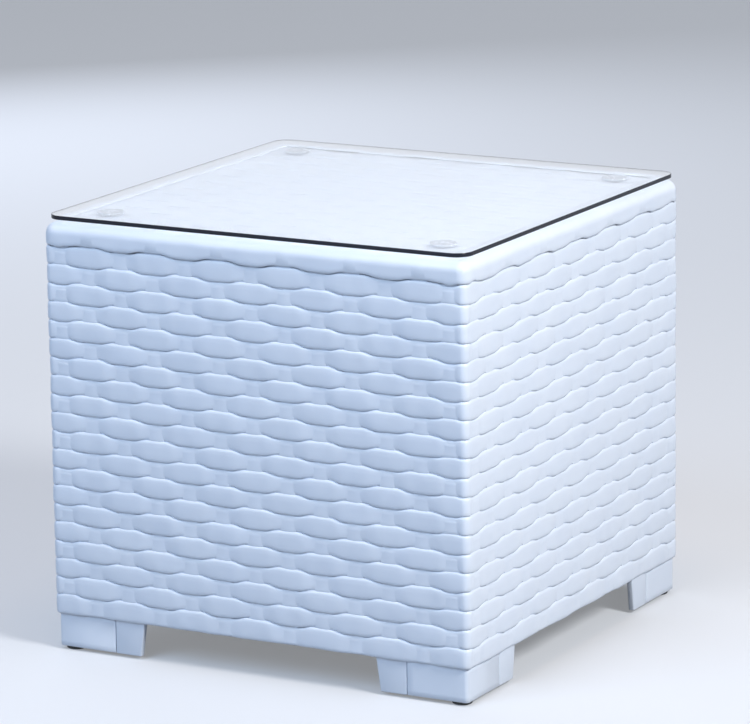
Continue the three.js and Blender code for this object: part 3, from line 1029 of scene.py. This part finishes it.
def pick_edges(piece, chosen):
    """In edit mode, selects the edges whose two ends pass the test, and nothing else."""
    sheet = bmesh.from_edit_mesh(piece.data)
    for edge in sheet.edges:
        edge.select_set(False)
    for edge in sheet.edges:
        if chosen(edge.verts[0].co, edge.verts[1].co):
            edge.select_set(True)
    bmesh.update_edit_mesh(piece.data)


bpy.ops.object.select_all(action="DESELECT")
bpy.ops.mesh.primitive_cube_add(size=1, location=(glass_low + glass_high) / 2)
plate = bpy.context.object
plate.name = "glass_plate"
plate.scale = glass_high - glass_low
settle(plate)
edit(plate)
bpy.ops.mesh.select_mode(type="EDGE")
pick_edges(plate, lambda a, b: abs(a.z - b.z) > TOUCH)
bpy.ops.mesh.bevel(offset=GLASS_CORNER, segments=GLASS_CORNER_STEPS, affect="EDGES")
pick_edges(plate, lambda a, b: abs(a.z - b.z) < TOUCH)
bpy.ops.mesh.bevel(offset=GLASS_ARRIS, segments=GLASS_ARRIS_STEPS, affect="EDGES")
close_edit()
finish(plate, "glass", glass_clear, "tempered_glass", "glass_top", smooth=15)
plate.data.materials.append(glass_edge)
for face in plate.data.polygons:
    face.material_index = 1 if abs(face.normal.z) < STEEP else 0

# %% [markdown]
# ## The frame inside
# The frame is square aluminium tube with a white powder coat, which dries to a faint orange
# peel. The plugs and the pads of the levelling feet are black nylon with a fine moulded grain,
# and their studs are zinc-plated steel. These shapes are right as the CAD model has them, so
# its nodes stay and only get their materials.

# %% Frame materials
def coated(name, colors, rough, grain, height, values):
    """A material whose tone, sheen and relief all come from one fine noise."""
    material, tree = new_material(name)
    place = add_node(tree, "ShaderNodeTexCoord")
    noise = add_node(tree, "ShaderNodeTexNoise", values={"Scale": 1 / grain, "Detail": 2},
                     links={"Vector": place.outputs["Object"]})
    tone = add_node(tree, "ShaderNodeMix", {"data_type": "RGBA"},
                    {6: linear(colors[0]), 7: linear(colors[1])}, {0: noise.outputs[0]})
    sheen = add_node(tree, "ShaderNodeMapRange", values={"To Min": rough[0], "To Max": rough[1]},
                     links={"Value": noise.outputs[0]})
    relief = add_node(tree, "ShaderNodeBump", values={"Strength": 0.4, "Distance": height},
                      links={"Height": noise.outputs[0]})
    show(tree, add_node(tree, "ShaderNodeBsdfPrincipled", values=values, links={
        "Base Color": tone.outputs[2], "Roughness": sheen.outputs[0],
        "Normal": relief.outputs[0]}).outputs[0])
    return material


powder_coat = coated("aluminium_powder_coated_white", ("#dde1e5", "#e8ebee"), (0.38, 0.52),
                     1.6 * MM, 0.05 * MM, {"IOR": 1.5})
nylon = coated("nylon_black_moulded", ("#232427", "#2f3033"), (0.5, 0.68),
               0.8 * MM, 0.04 * MM, {"IOR": 1.53})
zinc = coated("steel_zinc_plated", ("#aeb4b8", "#c6cacc"), (0.25, 0.42),
              1.2 * MM, 0.02 * MM, {"Metallic": 1.0})

frame_finish = {
    "corner_post": powder_coat, "top_rail": powder_coat, "bottom_rail": powder_coat,
    "side_strut": powder_coat, "deck_bar": powder_coat, "gusset": powder_coat,
    "foot_plate": powder_coat, "post_plug": nylon, "leveller_pad": nylon,
    "leveller_stud": zinc,
}
for name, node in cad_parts.items():
    for start, material in frame_finish.items():
        if name.startswith(start):
            node.data.materials.clear()
            node.data.materials.append(material)
print("frame:", sum(not node.hide_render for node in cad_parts.values()), "CAD nodes stay")
